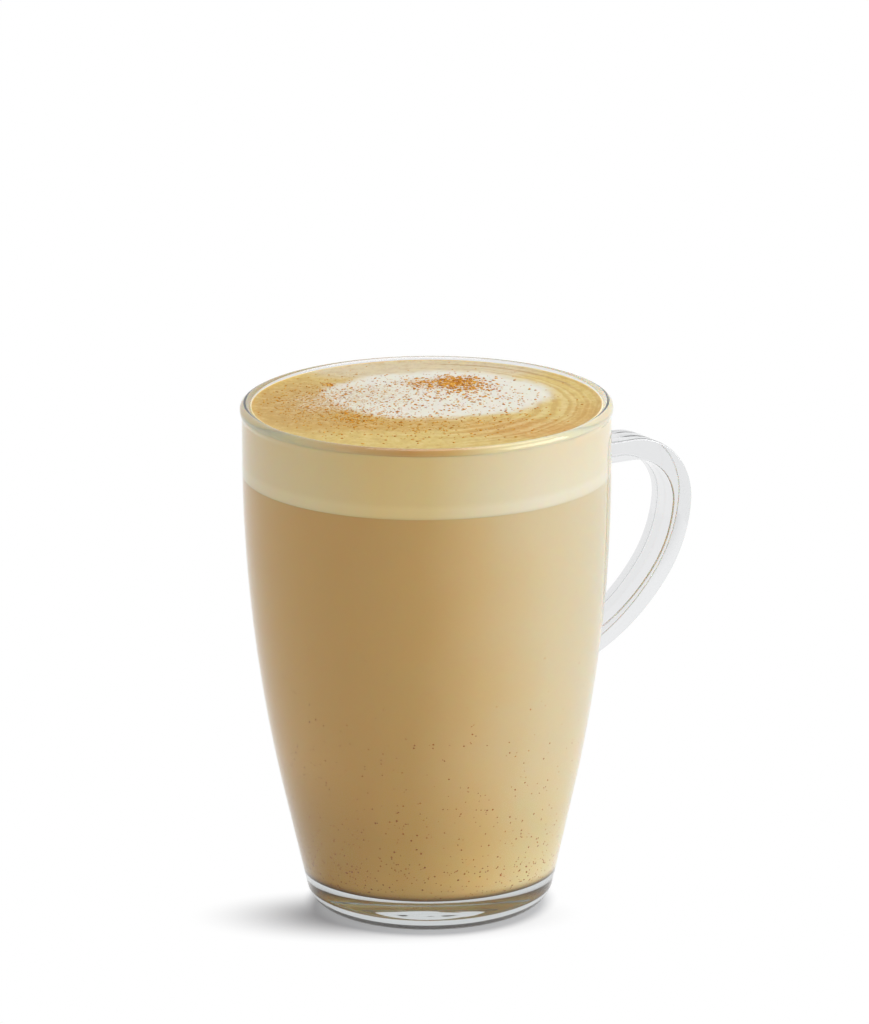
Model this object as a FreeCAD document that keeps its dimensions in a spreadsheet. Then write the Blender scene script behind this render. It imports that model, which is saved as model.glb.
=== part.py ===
"""A latte with a cap of milk foam, in its tall glass mug.

The mug is one piece of pressed clear glass: a cone that rises from a rounded foot, a long arc that
straightens it into a collar, a rolled rim, and a ribbon handle that melts into the wall. The latte
fills the mug from its floor, and the foam lies on the latte, nearly up to the rim.

The frame: the origin is on the mug's axis, on the surface that it stands on. +Z is up, and the
handle is on +X. Lengths are in millimetres and angles in degrees.
"""

import FreeCAD
import Part
import Sketcher
import math
import os

from FreeCAD import Vector

SIZES = [
    # name, value, what it is
    ("mug_height", 113.5, "from the table to the top of the rim"),
    ("collar_diameter", 80.6, "outside, of the straight part under the rim"),
    ("collar_height", 12.8, "from the top of the rim down to where the long arc ends"),
    ("cone_height", 25.7, "from the table up to where the straight cone turns into that arc"),
    ("taper_angle", 12.85, "lean of the cone, from upright"),
    ("wall_thickness", 2.0, "of cone, arc and collar"),
    ("bead_proud", 0.4, "how far the rolled rim stands out of the collar"),
    ("bead_radius", 3.0, "of the rim's outer swell"),
    ("cove_radius", 1.5, "of the hollow between collar and rim"),
    ("foot_fillet", 6.0, "of the wall into the resting face"),
    ("floor_thickness", 7.6, "of the glass under the drink"),
    ("floor_fillet", 6.0, "of the wall into the floor, inside"),
    ("foot_ring", 4.2, "width of the flat ring that the mug stands on"),
    ("punt_depth", 1.4, "of the hollow inside that ring, at the axis"),
    ("handle_width", 9.5, "of the ribbon, seen from the handle's side of the mug"),
    ("handle_thickness", 4.8, "of the ribbon, from its outer to its inner face"),
    ("handle_edge_radius", 1.5, "of the ribbon's rounded corners"),
    ("handle_drop", 16.8, "from the top of the rim down to the level arm's centre line"),
    ("finger_room", 19.8, "from the collar to the handle's inner face"),
    ("bend_radius", 12.65, "of the handle's centre line, from the arm round to the grip"),
    ("bend_turn", 95.0, "that this bend turns through"),
    ("grip_radius", 29.4, "of the centre line, along the grip"),
    ("grip_turn", 30.5, "that the grip turns through"),
    ("tail_radius", 46.5, "of the centre line, from the grip in to the wall"),
    ("root_fillet", 2.0, "where the ribbon runs into the wall"),
    ("drink_clearance", 0.1, "between the glass and what fills it"),
    ("foam_drop", 0.9, "from the top of the rim down to the foam's edge"),
    ("foam_crown", 0.7, "how much higher the foam stands at the axis"),
    ("foam_depth", 15.0, "from the foam's edge down to the latte"),
]

START, END, CENTRE = 1, 2, 3
ORIGIN = (-1, 1)
X_AXIS, V_AXIS = -1, -2

doc = FreeCAD.newDocument("latte")
sheet = doc.addObject("Spreadsheet::Sheet", "sizes")
for row, (name, value, meaning) in enumerate(SIZES, start=1):
    sheet.set(f"A{row}", name)
    sheet.set(f"B{row}", str(value))
    sheet.set(f"C{row}", meaning)
    sheet.setAlias(f"B{row}", name)
doc.recompute()


def size(name):
    """The number in the sheet's cell of that name."""
    return float(sheet.get(name))


def driven(name):
    """A size as a pair: its number, where a drawing starts, and the expression that drives it."""
    return size(name), f"sizes.{name}"


# ---------------------------------------------------------------- helpers for bodies and sketches


def new_body(name):
    body = doc.addObject("PartDesign::Body", name)
    body.Label = name
    body.Placement = FreeCAD.Placement(Vector(0, 0, 0), FreeCAD.Rotation())
    return body


def new_sketch(body, name, role):
    """An empty sketch on the body's own origin plane of that role, such as XZ_Plane."""
    sketch = body.newObject("Sketcher::SketchObject", name)
    plane = next(feature for feature in body.Origin.OriginFeatures if feature.Role == role)
    sketch.AttachmentSupport = (plane, "")
    sketch.MapMode = "FlatFace"
    return sketch


def line(sketch, start, end):
    return sketch.addGeometry(Part.LineSegment(Vector(*start, 0), Vector(*end, 0)), False)


def arc(sketch, centre, radius, start_angle, end_angle):
    """An arc that runs anticlockwise between two angles, in radians."""
    circle = Part.Circle(Vector(*centre, 0), Vector(0, 0, 1), radius)
    return sketch.addGeometry(Part.ArcOfCircle(circle, start_angle, end_angle), False)


def rule(sketch, kind, *places):
    """A constraint without a number, such as Horizontal, Tangent or Coincident."""
    sketch.addConstraint(Sketcher.Constraint(kind, *places))


def dimension(sketch, name, expression, kind, *places_and_value):
    """A constraint with a number, which an expression of the sheet's sizes then drives."""
    index = sketch.addConstraint(Sketcher.Constraint(kind, *places_and_value))
    sketch.renameConstraint(index, name)
    sketch.setExpression(f"Constraints.{name}", expression)


def revolved(body, name, sketch, kind="PartDesign::Revolution"):
    """Turns a closed sketch once round its vertical axis: added, or cut away by a Groove."""
    feature = body.newObject(kind, name)
    feature.Profile = sketch
    feature.ReferenceAxis = (sketch, ["V_Axis"])
    feature.Angle = 360
    doc.recompute()
    return feature


# ---------------------------------------------------------------- the line of the mug's wall


def draw_wall(sketch, inset, level, fillet, top):
    """Draws floor, corner, cone, long arc and collar as one smooth line, out from the axis.

    The line runs inset mm inside the outer wall, all the way, so every arc keeps its centre. Each
    of inset, level and fillet is a pair of a number, where the drawing starts, and the expression
    that then drives it. The collar ends at the height top, which is for the caller to hold.
    Returns the floor and the collar.
    """
    lean = math.radians(size("taper_angle"))
    radius = size("collar_diameter") / 2 - inset[0]
    arc_end = size("mug_height") - size("collar_height")
    arc_start = size("cone_height") + inset[0] * math.sin(lean)
    arc_radius = (arc_end - arc_start) / math.sin(lean)
    cone_top = (radius - arc_radius * (1 - math.cos(lean)), arc_start)
    corner_level = level[0] + fillet[0]
    corner_x = (
        cone_top[0] - (arc_start - corner_level) * math.tan(lean) - fillet[0] / math.cos(lean)
    )
    cone_foot = (
        corner_x + fillet[0] * math.cos(lean),
        corner_level - fillet[0] * math.sin(lean),
    )

    floor = line(sketch, (0, level[0]), (corner_x, level[0]))
    corner = arc(sketch, (corner_x, corner_level), fillet[0], -math.pi / 2, -lean)
    cone = line(sketch, cone_foot, cone_top)
    sweep = arc(sketch, (radius - arc_radius, arc_end), arc_radius, -lean, 0)
    collar = line(sketch, (radius, arc_end), (radius, top))

    rule(sketch, "Horizontal", floor)
    rule(sketch, "Vertical", collar)
    rule(sketch, "Tangent", floor, END, corner, START)
    rule(sketch, "Tangent", corner, END, cone, START)
    rule(sketch, "Tangent", cone, END, sweep, START)
    rule(sketch, "Tangent", sweep, END, collar, START)
    if level[0] == 0:
        rule(sketch, "Coincident", floor, START, *ORIGIN)
    else:
        rule(sketch, "PointOnObject", floor, START, V_AXIS)
        dimension(sketch, "floor", level[1], "DistanceY", *ORIGIN, floor, START, level[0])
    dimension(sketch, "corner", fillet[1], "Radius", corner, fillet[0])
    dimension(
        sketch, "lean", "90 - sizes.taper_angle",
        "Angle", cone, math.pi / 2 - lean,
    )
    dimension(
        sketch, "arc_start", f"sizes.cone_height + ({inset[1]}) * sin(sizes.taper_angle)",
        "DistanceY", *ORIGIN, sweep, START, arc_start,
    )
    dimension(
        sketch, "arc_end", "sizes.mug_height - sizes.collar_height",
        "DistanceY", *ORIGIN, collar, START, arc_end,
    )
    dimension(
        sketch, "collar", f"sizes.collar_diameter / 2 - ({inset[1]})",
        "DistanceX", *ORIGIN, collar, START, radius,
    )
    return floor, collar


def close_level(sketch, floor, collar, height):
    """Closes a wall's line with a level top and the axis."""
    top = line(sketch, (size("collar_diameter") / 2, height[0]), (0, height[0]))
    axis = line(sketch, (0, height[0]), (0, 1))
    rule(sketch, "Coincident", collar, END, top, START)
    rule(sketch, "Coincident", top, END, axis, START)
    rule(sketch, "Coincident", axis, END, floor, START)
    rule(sketch, "Horizontal", top)
    rule(sketch, "Vertical", axis)
    dimension(sketch, "top", height[1], "DistanceY", *ORIGIN, top, END, height[0])


# ---------------------------------------------------------------- the glass mug


def draw_blank(body):
    """The mug's outside with its rolled rim, closed at the axis: solid glass, as yet."""
    sketch = new_sketch(body, "blank_line", "YZ_Plane")
    height, proud = size("mug_height"), size("bead_proud")
    bead, cove = size("bead_radius"), size("cove_radius")
    lip = (size("wall_thickness") + proud) / 2
    rim_radius = size("collar_diameter") / 2 + proud
    turn = math.acos(1 - proud / (bead + cove))
    bead_level = height - lip
    cove_level = bead_level - (bead + cove) * math.sin(turn)

    floor, collar = draw_wall(sketch, (0, "0"), (0, "0"), driven("foot_fillet"), cove_level)
    hollow = arc(sketch, (rim_radius - proud + cove, cove_level), cove, math.pi - turn, math.pi)
    swell = arc(sketch, (rim_radius - bead, bead_level), bead, -turn, 0)
    outer_lip = arc(sketch, (rim_radius - lip, bead_level), lip, 0, math.pi / 2)
    top = line(sketch, (rim_radius - lip, height), (0, height))
    axis = line(sketch, (0, height), (0, 0))

    rule(sketch, "Tangent", collar, END, hollow, END)
    rule(sketch, "Tangent", hollow, START, swell, START)
    rule(sketch, "Tangent", swell, END, outer_lip, START)
    rule(sketch, "Tangent", outer_lip, END, top, START)
    rule(sketch, "Coincident", top, END, axis, START)
    rule(sketch, "Coincident", axis, END, floor, START)
    rule(sketch, "Horizontal", top)
    rule(sketch, "Vertical", axis)
    rule(sketch, "Horizontal", swell, CENTRE, swell, END)
    dimension(sketch, "cove_radius", "sizes.cove_radius", "Radius", hollow, cove)
    dimension(sketch, "bead_radius", "sizes.bead_radius", "Radius", swell, bead)
    dimension(
        sketch, "lip_radius", "(sizes.wall_thickness + sizes.bead_proud) / 2",
        "Radius", outer_lip, lip,
    )
    dimension(
        sketch, "rim", "sizes.collar_diameter / 2 + sizes.bead_proud",
        "DistanceX", *ORIGIN, outer_lip, START, rim_radius,
    )
    dimension(sketch, "height", "sizes.mug_height", "DistanceY", *ORIGIN, top, END, height)
    return sketch


def draw_handle_line(body):
    """The handle's centre line: level arm, bend, grip and tail, rooted well inside the blank."""
    sketch = new_sketch(body, "handle_line", "XZ_Plane")
    root = size("collar_diameter") / 3
    arm_level = size("mug_height") - size("handle_drop")
    radii = [size("bend_radius"), size("grip_radius"), size("tail_radius")]
    turns = [math.radians(size("bend_turn")), math.radians(size("grip_turn"))]
    reach = size("collar_diameter") / 2 + size("finger_room") + size("handle_thickness") / 2
    centre = (reach - radii[0], arm_level - radii[0])
    heading = 0.0

    arm = line(sketch, (root, arm_level), (centre[0], arm_level))
    arcs = []
    for radius, next_radius, turn in zip(radii, radii[1:], turns):
        begin = math.pi / 2 - heading
        arcs.append(arc(sketch, centre, radius, begin - turn, begin))
        heading += turn
        centre = (
            centre[0] + (radius - next_radius) * math.sin(heading),
            centre[1] + (radius - next_radius) * math.cos(heading),
        )
    stop = -math.acos((root - centre[0]) / radii[2])
    arcs.append(arc(sketch, centre, radii[2], stop, math.pi / 2 - heading))
    bend, grip, tail = arcs

    rule(sketch, "Horizontal", arm)
    rule(sketch, "Tangent", arm, END, bend, END)
    rule(sketch, "Tangent", bend, START, grip, END)
    rule(sketch, "Tangent", grip, START, tail, END)
    dimension(sketch, "root", "sizes.collar_diameter / 3", "DistanceX", *ORIGIN, arm, START, root)
    dimension(
        sketch, "level", "sizes.mug_height - sizes.handle_drop",
        "DistanceY", *ORIGIN, arm, START, arm_level,
    )
    dimension(
        sketch, "reach",
        "sizes.collar_diameter / 2 + sizes.finger_room + sizes.handle_thickness / 2"
        " - sizes.bend_radius",
        "DistanceX", *ORIGIN, bend, CENTRE, reach - radii[0],
    )
    dimension(sketch, "bend_radius", "sizes.bend_radius", "Radius", bend, radii[0])
    dimension(sketch, "bend_turn", "sizes.bend_turn", "Angle", bend, turns[0])
    dimension(sketch, "grip_radius", "sizes.grip_radius", "Radius", grip, radii[1])
    dimension(sketch, "grip_turn", "sizes.grip_turn", "Angle", grip, turns[1])
    dimension(sketch, "tail_radius", "sizes.tail_radius", "Radius", tail, radii[2])
    dimension(sketch, "tail", "sizes.collar_diameter / 3", "DistanceX", *ORIGIN, tail, START, root)
    return sketch


def draw_ribbon(body):
    """The handle's section, a rectangle with rounded corners, where its centre line starts."""
    sketch = new_sketch(body, "ribbon_section", "YZ_Plane")
    sketch.setExpression("AttachmentOffset.Base.z", "sizes.collar_diameter / 3")
    across, through = size("handle_width") / 2, size("handle_thickness") / 2
    edge = size("handle_edge_radius")
    level = size("mug_height") - size("handle_drop")
    flat_y, flat_z = across - edge, through - edge

    bottom = line(sketch, (-flat_y, level - through), (flat_y, level - through))
    right = line(sketch, (across, level - flat_z), (across, level + flat_z))
    top = line(sketch, (flat_y, level + through), (-flat_y, level + through))
    left = line(sketch, (-across, level + flat_z), (-across, level - flat_z))
    sides = [bottom, right, top, left]
    corners = []
    for quarter, (y, z) in enumerate([(1, -1), (1, 1), (-1, 1), (-1, -1)], start=-1):
        centre = (y * flat_y, level + z * flat_z)
        begin = quarter * math.pi / 2
        corners.append(arc(sketch, centre, edge, begin, begin + math.pi / 2))

    for index, corner in enumerate(corners):
        rule(sketch, "Tangent", sides[index], END, corner, START)
        rule(sketch, "Tangent", corner, END, sides[(index + 1) % 4], START)
        rule(sketch, "Vertical" if index % 2 else "Horizontal", sides[index])
    for corner in corners[1:]:
        rule(sketch, "Equal", corners[0], corner)
    dimension(
        sketch, "half_width", "sizes.handle_width / 2",
        "DistanceX", *ORIGIN, right, START, across,
    )
    dimension(
        sketch, "width", "sizes.handle_width",
        "DistanceX", left, END, right, START, 2 * across,
    )
    dimension(
        sketch, "upper_face", "sizes.mug_height - sizes.handle_drop + sizes.handle_thickness / 2",
        "DistanceY", *ORIGIN, top, START, level + through,
    )
    dimension(
        sketch, "thickness", "sizes.handle_thickness",
        "DistanceY", bottom, END, top, START, 2 * through,
    )
    dimension(sketch, "edge", "sizes.handle_edge_radius", "Radius", corners[0], edge)
    return sketch


def draw_cavity(body):
    """What is cut out of the blank for the drink, up through the mouth."""
    sketch = new_sketch(body, "cavity_line", "YZ_Plane")
    wall, floor_level, fillet = map(driven, ("wall_thickness", "floor_thickness", "floor_fillet"))
    floor, collar = draw_wall(sketch, wall, floor_level, fillet, size("mug_height"))
    close_level(sketch, floor, collar, driven("mug_height"))
    return sketch


def punt_edge():
    """The hollow's radius: the foot is level out to its fillet, and the ring is left of that."""
    lean = math.radians(size("taper_angle"))
    arc_rise = size("mug_height") - size("collar_height") - size("cone_height")
    number = (
        size("collar_diameter") / 2
        - arc_rise * math.tan(lean / 2)
        - (size("cone_height") - size("foot_fillet")) * math.tan(lean)
        - size("foot_fillet") / math.cos(lean)
        - size("foot_ring")
    )
    expression = (
        "sizes.collar_diameter / 2"
        " - (sizes.mug_height - sizes.collar_height - sizes.cone_height)"
        " * tan(sizes.taper_angle / 2)"
        " - (sizes.cone_height - sizes.foot_fillet) * tan(sizes.taper_angle)"
        " - sizes.foot_fillet / cos(sizes.taper_angle)"
        " - sizes.foot_ring"
    )
    return number, expression


def draw_punt(body):
    """The lens-shaped hollow under the foot, inside the ring that the mug stands on."""
    sketch = new_sketch(body, "punt_line", "YZ_Plane")
    depth = size("punt_depth")
    edge, edge_expression = punt_edge()
    radius = (edge ** 2 + depth ** 2) / (2 * depth)
    half = math.asin(edge / radius)
    floor = line(sketch, (0, 0), (edge, 0))
    dome = arc(sketch, (0, depth - radius), radius, math.pi / 2 - half, math.pi / 2)
    axis = line(sketch, (0, depth), (0, 0))
    rule(sketch, "Coincident", floor, START, *ORIGIN)
    rule(sketch, "Coincident", floor, END, dome, START)
    rule(sketch, "Coincident", dome, END, axis, START)
    rule(sketch, "Coincident", axis, END, floor, START)
    rule(sketch, "Horizontal", floor)
    rule(sketch, "Vertical", axis)
    rule(sketch, "PointOnObject", dome, CENTRE, V_AXIS)
    dimension(sketch, "depth", "sizes.punt_depth", "DistanceY", *ORIGIN, dome, END, depth)
    dimension(sketch, "edge", edge_expression, "DistanceX", *ORIGIN, floor, END, edge)
    return sketch


def edges_where(shape, wanted):
    """The names of the edges whose every sampled point passes the test."""
    return [
        f"Edge{number}"
        for number, edge in enumerate(shape.Edges, start=1)
        if all(wanted(point) for point in edge.discretize(7))
    ]


def filleted(body, name, base, edges, radius):
    feature = body.newObject("PartDesign::Fillet", name)
    feature.Base = (base, edges)
    feature.setExpression("Radius", radius)
    doc.recompute()
    return feature


def make_mug():
    """Blank, then handle, so that the cavity also trims the handle's ends off the inside."""
    body = new_body("glass_mug")
    blank = revolved(body, "blank", draw_blank(body))

    handle = body.newObject("PartDesign::AdditivePipe", "handle")
    handle.Profile = draw_ribbon(body)
    handle.Spine = (draw_handle_line(body), [])
    doc.recompute()

    outside = Part.makeCompound(blank.Shape.Faces)

    def at_the_root(point):
        beside = point.x > 0 and abs(point.y) <= size("handle_width") / 2 + 0.1
        return beside and outside.distToShape(Part.Vertex(point))[0] < 0.01

    roots = edges_where(handle.Shape, at_the_root)
    filleted(body, "handle_roots", handle, roots, "sizes.root_fillet")
    cavity = revolved(body, "cavity", draw_cavity(body), "PartDesign::Groove")

    bore_radius = size("collar_diameter") / 2 - size("wall_thickness")

    def at_the_mouth(point):
        radius = math.hypot(point.x, point.y)
        return abs(point.z - size("mug_height")) < 0.01 and abs(radius - bore_radius) < 0.01

    mouth = edges_where(cavity.Shape, at_the_mouth)
    inner_radius = "(sizes.wall_thickness + sizes.bead_proud) / 2 * 0.98"
    filleted(body, "inner_lip", cavity, mouth, inner_radius)
    body.Tip = revolved(body, "punt", draw_punt(body), "PartDesign::Groove")
    return body


# ---------------------------------------------------------------- the drink


def draw_filling(body):
    """The mug's inside less the clearance, drawn as the cavity is, and left open at its top."""
    sketch = new_sketch(body, f"{body.Name}_line", "YZ_Plane")
    gap = size("drink_clearance")
    inset = (size("wall_thickness") + gap, "sizes.wall_thickness + sizes.drink_clearance")
    level = (size("floor_thickness") + gap, "sizes.floor_thickness + sizes.drink_clearance")
    fillet = (size("floor_fillet") - gap, "sizes.floor_fillet - sizes.drink_clearance")
    edge_level = size("mug_height") - size("foam_drop")
    floor, collar = draw_wall(sketch, inset, level, fillet, edge_level)
    return sketch, floor, collar


def close_crowned(sketch, floor, collar):
    """Closes the filling with the foam's low dome, which meets the axis level."""
    rise, edge_level = size("foam_crown"), size("mug_height") - size("foam_drop")
    edge = size("collar_diameter") / 2 - size("wall_thickness") - size("drink_clearance")
    radius = (edge ** 2 + rise ** 2) / (2 * rise)
    half = math.asin(edge / radius)
    top = edge_level + rise
    dome = arc(sketch, (0, top - radius), radius, math.pi / 2 - half, math.pi / 2)
    axis = line(sketch, (0, top), (0, 1))
    rule(sketch, "Coincident", collar, END, dome, START)
    rule(sketch, "Coincident", dome, END, axis, START)
    rule(sketch, "Coincident", axis, END, floor, START)
    rule(sketch, "Vertical", axis)
    rule(sketch, "PointOnObject", dome, CENTRE, V_AXIS)
    dimension(
        sketch, "foam_edge", "sizes.mug_height - sizes.foam_drop",
        "DistanceY", *ORIGIN, dome, START, edge_level,
    )
    dimension(
        sketch, "foam_top", "sizes.mug_height - sizes.foam_drop + sizes.foam_crown",
        "DistanceY", *ORIGIN, dome, END, top,
    )


def draw_slab(body, low, high):
    """A disc between two levels, wider than the mug, that cuts a filling off square."""
    sketch = new_sketch(body, f"{body.Name}_slab", "YZ_Plane")
    wide = size("collar_diameter")
    corners = [(0, low[0]), (wide, low[0]), (wide, high[0]), (0, high[0])]
    sides = [line(sketch, corners[i], corners[(i + 1) % 4]) for i in range(4)]
    for index, side in enumerate(sides):
        rule(sketch, "Coincident", side, END, sides[(index + 1) % 4], START)
        rule(sketch, "Vertical" if index % 2 else "Horizontal", side)
    rule(sketch, "PointOnObject", sides[0], START, V_AXIS)
    dimension(sketch, "wide", "sizes.collar_diameter", "DistanceX", *ORIGIN, sides[0], END, wide)
    dimension(sketch, "low", low[1], "DistanceY", *ORIGIN, sides[0], END, low[0])
    dimension(sketch, "high", high[1], "DistanceY", *ORIGIN, sides[2], START, high[0])
    return sketch


BOUNDARY = (
    size("mug_height") - size("foam_drop") - size("foam_depth"),
    "sizes.mug_height - sizes.foam_drop - sizes.foam_depth",
)


def make_latte():
    """Everything below the level where the foam begins."""
    body = new_body("latte")
    sketch, floor, collar = draw_filling(body)
    close_level(sketch, floor, collar, driven("mug_height"))
    revolved(body, "latte_fill", sketch)
    slab = draw_slab(body, BOUNDARY, (2 * size("mug_height"), "sizes.mug_height * 2"))
    body.Tip = revolved(body, "latte_level", slab, "PartDesign::Groove")
    return body


def make_foam():
    """Everything above that level, up to the crowned top."""
    body = new_body("milk_foam")
    sketch, floor, collar = draw_filling(body)
    close_crowned(sketch, floor, collar)
    revolved(body, "foam_fill", sketch)
    slab = draw_slab(body, (size("punt_depth"), "sizes.punt_depth"), BOUNDARY)
    body.Tip = revolved(body, "foam_level", slab, "PartDesign::Groove")
    return body


# ---------------------------------------------------------------- checking and writing


def check(bodies):
    """Stops before anything is written if a feature failed or a piece isn't one valid solid."""
    doc.recompute()
    failed = [o.Name for o in doc.Objects if {"Invalid", "Error"} & set(o.State)]
    if failed:
        raise RuntimeError(f"these failed to build: {failed}")
    for body in bodies:
        shape = body.Shape
        if shape.isNull() or not shape.isValid() or len(shape.Solids) != 1:
            raise RuntimeError(f"{body.Label} is not one valid solid")


def write(bodies):
    os.makedirs("parts", exist_ok=True)
    for body in bodies:
        body.Shape.exportStep(f"parts/{body.Label}.step")
        box = body.Shape.BoundBox
        print(
            f"{body.Label}: {body.Shape.Volume / 1000:.1f} cm3, "
            f"{box.XLength:.1f} x {box.YLength:.1f} x {box.ZLength:.1f} mm"
        )


pieces = [make_mug(), make_latte(), make_foam()]
check(pieces)
write(pieces)
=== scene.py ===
# %% [markdown]
# # A pumpkin spice latte in a handled glass mug
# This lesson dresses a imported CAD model. The CAD gives three solids: the
# glass mug, the milky coffee and the foam on it. We turn the glass again from
# the same sizes with finer faces. We rebuild the two fillings as meshes that
# reach just into the glass wall, because a drink wets its glass and no air
# shows between them. Then come crema, spice, specks and the light.
#
# ## The frame
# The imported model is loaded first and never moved. Positions are worked out
# from its boxes, in metres. The few sizes that a box can't tell, such as the
# wall's thickness, repeat the CAD's.

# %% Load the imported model
import math
import random

import bmesh
import bpy
from mathutils import Matrix, Vector, noise


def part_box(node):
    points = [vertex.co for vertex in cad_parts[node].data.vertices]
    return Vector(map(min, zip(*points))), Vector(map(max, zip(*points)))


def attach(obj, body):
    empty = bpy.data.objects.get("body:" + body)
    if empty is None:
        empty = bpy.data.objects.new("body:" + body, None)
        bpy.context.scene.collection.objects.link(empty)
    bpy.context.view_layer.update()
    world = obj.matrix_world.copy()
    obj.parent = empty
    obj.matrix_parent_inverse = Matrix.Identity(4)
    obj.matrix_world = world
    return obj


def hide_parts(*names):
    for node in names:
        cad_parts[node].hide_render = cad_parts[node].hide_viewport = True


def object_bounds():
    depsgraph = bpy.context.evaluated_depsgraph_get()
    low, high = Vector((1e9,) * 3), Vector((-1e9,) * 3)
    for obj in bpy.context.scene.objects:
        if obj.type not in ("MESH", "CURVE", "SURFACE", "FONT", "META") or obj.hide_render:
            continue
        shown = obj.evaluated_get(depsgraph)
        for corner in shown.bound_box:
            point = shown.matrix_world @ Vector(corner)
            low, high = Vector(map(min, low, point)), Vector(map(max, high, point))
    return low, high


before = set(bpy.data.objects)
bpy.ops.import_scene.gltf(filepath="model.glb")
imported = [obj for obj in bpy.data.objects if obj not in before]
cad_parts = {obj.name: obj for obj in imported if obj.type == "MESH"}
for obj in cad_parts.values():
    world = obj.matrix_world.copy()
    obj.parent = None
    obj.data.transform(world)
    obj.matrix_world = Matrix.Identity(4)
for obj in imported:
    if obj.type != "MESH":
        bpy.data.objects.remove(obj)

MM = 0.001
cad_low, cad_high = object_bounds()
print("CAD box in mm:", [round(v / MM, 2) for v in (*cad_low, *cad_high)])

# %% [markdown]
# ## The inside of the mug
# A pressed mug is made with a plunger, so its inside is one smooth turned
# shape: a flat floor, a rounded corner, a straight cone, a long shallow arc
# and a straight collar. We describe it once. A filling's skin is the same
# line moved outwards by a small reach, and arcs keep their centres when a
# line is moved that way, so one function serves every piece that touches the
# glass.

# %% The wall line
WALL = 2.0 * MM
TAPER = math.radians(12.85)
CORNER = 6.0 * MM
CONE_TOP = 25.7 * MM
SHOULDER = 100.7 * MM  # the long arc ends here and the collar starts
CLEARANCE = 0.1 * MM  # between the glass and its fillings in the CAD
CAD_CROWN = 0.7 * MM  # how much higher the CAD's foam is in the middle
REACH = 0.15 * MM  # how far a filling's skin goes into the glass
latte_low, latte_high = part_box("latte")
_, foam_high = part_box("milk_foam")
FLOOR = latte_low.z - CLEARANCE
BOUNDARY = latte_high.z
FOAM_EDGE = foam_high.z - CAD_CROWN
COLLAR_INNER = foam_high.x + CLEARANCE
ARC = (SHOULDER - CONE_TOP) / math.sin(TAPER) - WALL
ARC_AXIS = COLLAR_INNER - ARC
CORNER_STEPS = 14
WALL_STEP = 1.5 * MM


def wall_at(line, z):
    """Radius and steepness of a wall line at a height."""
    for (r0, z0), (r1, z1) in zip(line, line[1:]):
        if z0 <= z <= z1:
            rise = max(z1 - z0, 1e-9)
            return (r0 + (r1 - r0) * (z - z0) / rise,
                    math.atan2(z1 - z0, r1 - r0))
    return line[-1][0], math.pi / 2


def wall_line(reach, low, high, bottom=None, bend=None):
    """Points (radius, height) up the inside of the glass, moved outwards."""
    bottom = FLOOR - reach if bottom is None else bottom
    bend = CORNER + reach if bend is None else bend
    arc = ARC + reach
    cone_r = ARC_AXIS + arc * math.cos(TAPER)
    cone_z = SHOULDER - arc * math.sin(TAPER)
    bend_z = bottom + bend
    bend_r = cone_r - (bend + (cone_z - bend_z) * math.sin(TAPER)
                       ) / math.cos(TAPER)
    line = []
    for i in range(CORNER_STEPS + 1):
        t = -math.pi / 2 + (math.pi / 2 - TAPER) * i / CORNER_STEPS
        line.append((bend_r + bend * math.cos(t), bend_z + bend * math.sin(t)))
    start = line[-1]
    rows = max(2, round((cone_z - start[1]) / WALL_STEP))
    for i in range(1, rows + 1):
        part = i / rows
        line.append((start[0] + (cone_r - start[0]) * part,
                     start[1] + (cone_z - start[1]) * part))
    rows = round((SHOULDER - cone_z) / WALL_STEP)
    for i in range(1, rows + 1):
        t = TAPER * (1 - i / rows)
        line.append((ARC_AXIS + arc * math.cos(t),
                     SHOULDER - arc * math.sin(t)))
    line.append((COLLAR_INNER + reach, cad_high.z))
    first = (wall_at(line, low)[0], low) if low > line[0][1] else line[0]
    between = [p for p in line if first[1] < p[1] < high]
    return [first, *between, (wall_at(line, high)[0], high)]


print("inside radius in mm at the boundary:",
      round(wall_line(0, 0, BOUNDARY)[-1][0] / MM, 2))

# %% [markdown]
# ## Helpers for meshes
# Everything but the handle is turned, as on a lathe: a half outline is spun
# round the axis. A screw modifier could do that too. Writing the rings
# ourselves keeps the count of faces in our hands, and a point on the axis
# closes each end, so that the piece is a real closed solid.

# %% Turn an outline into a solid
SHARP_FROM = math.radians(50)


def finished(name, mesh, replaces=()):
    """Shades a mesh smooth up to its sharp edges and adds it to the part."""
    mesh.name = name
    mesh.polygons.foreach_set("use_smooth", [True] * len(mesh.polygons))
    mesh.set_sharp_from_angle(angle=SHARP_FROM)
    piece = bpy.data.objects.new(name, mesh)
    bpy.context.scene.collection.objects.link(piece)
    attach(piece, "root")
    for node_name in replaces:
        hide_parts(node_name)
    print(f"{name}: {len(mesh.vertices)} points, {len(mesh.polygons)} faces")
    return piece


def mesh_from(points, faces):
    """A checked mesh, which gets its name from the piece."""
    mesh = bpy.data.meshes.new("piece")
    mesh.from_pydata(points, [], faces)
    mesh.validate()
    return mesh


def turned(outline, around=256, lift=lambda x, y, z: z):
    """Spins (radius, height) points round Z and closes both ends."""
    points, faces = [(0, 0, outline[0][1])], []
    for r, z in outline:
        for i in range(around):
            a = 2 * math.pi * i / around
            x, y = r * math.cos(a), r * math.sin(a)
            points.append((x, y, lift(x, y, z)))
    top = len(points)
    points.append((0, 0, lift(0, 0, outline[-1][1])))
    for i in range(around):
        j = (i + 1) % around
        faces.append((0, 1 + j, 1 + i))
        for row in range(len(outline) - 1):
            a, b = 1 + row * around, 1 + (row + 1) * around
            faces.append((a + i, a + j, b + j, b + i))
        a = 1 + (len(outline) - 1) * around
        faces.append((a + i, a + j, top))
    return points, faces


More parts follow.
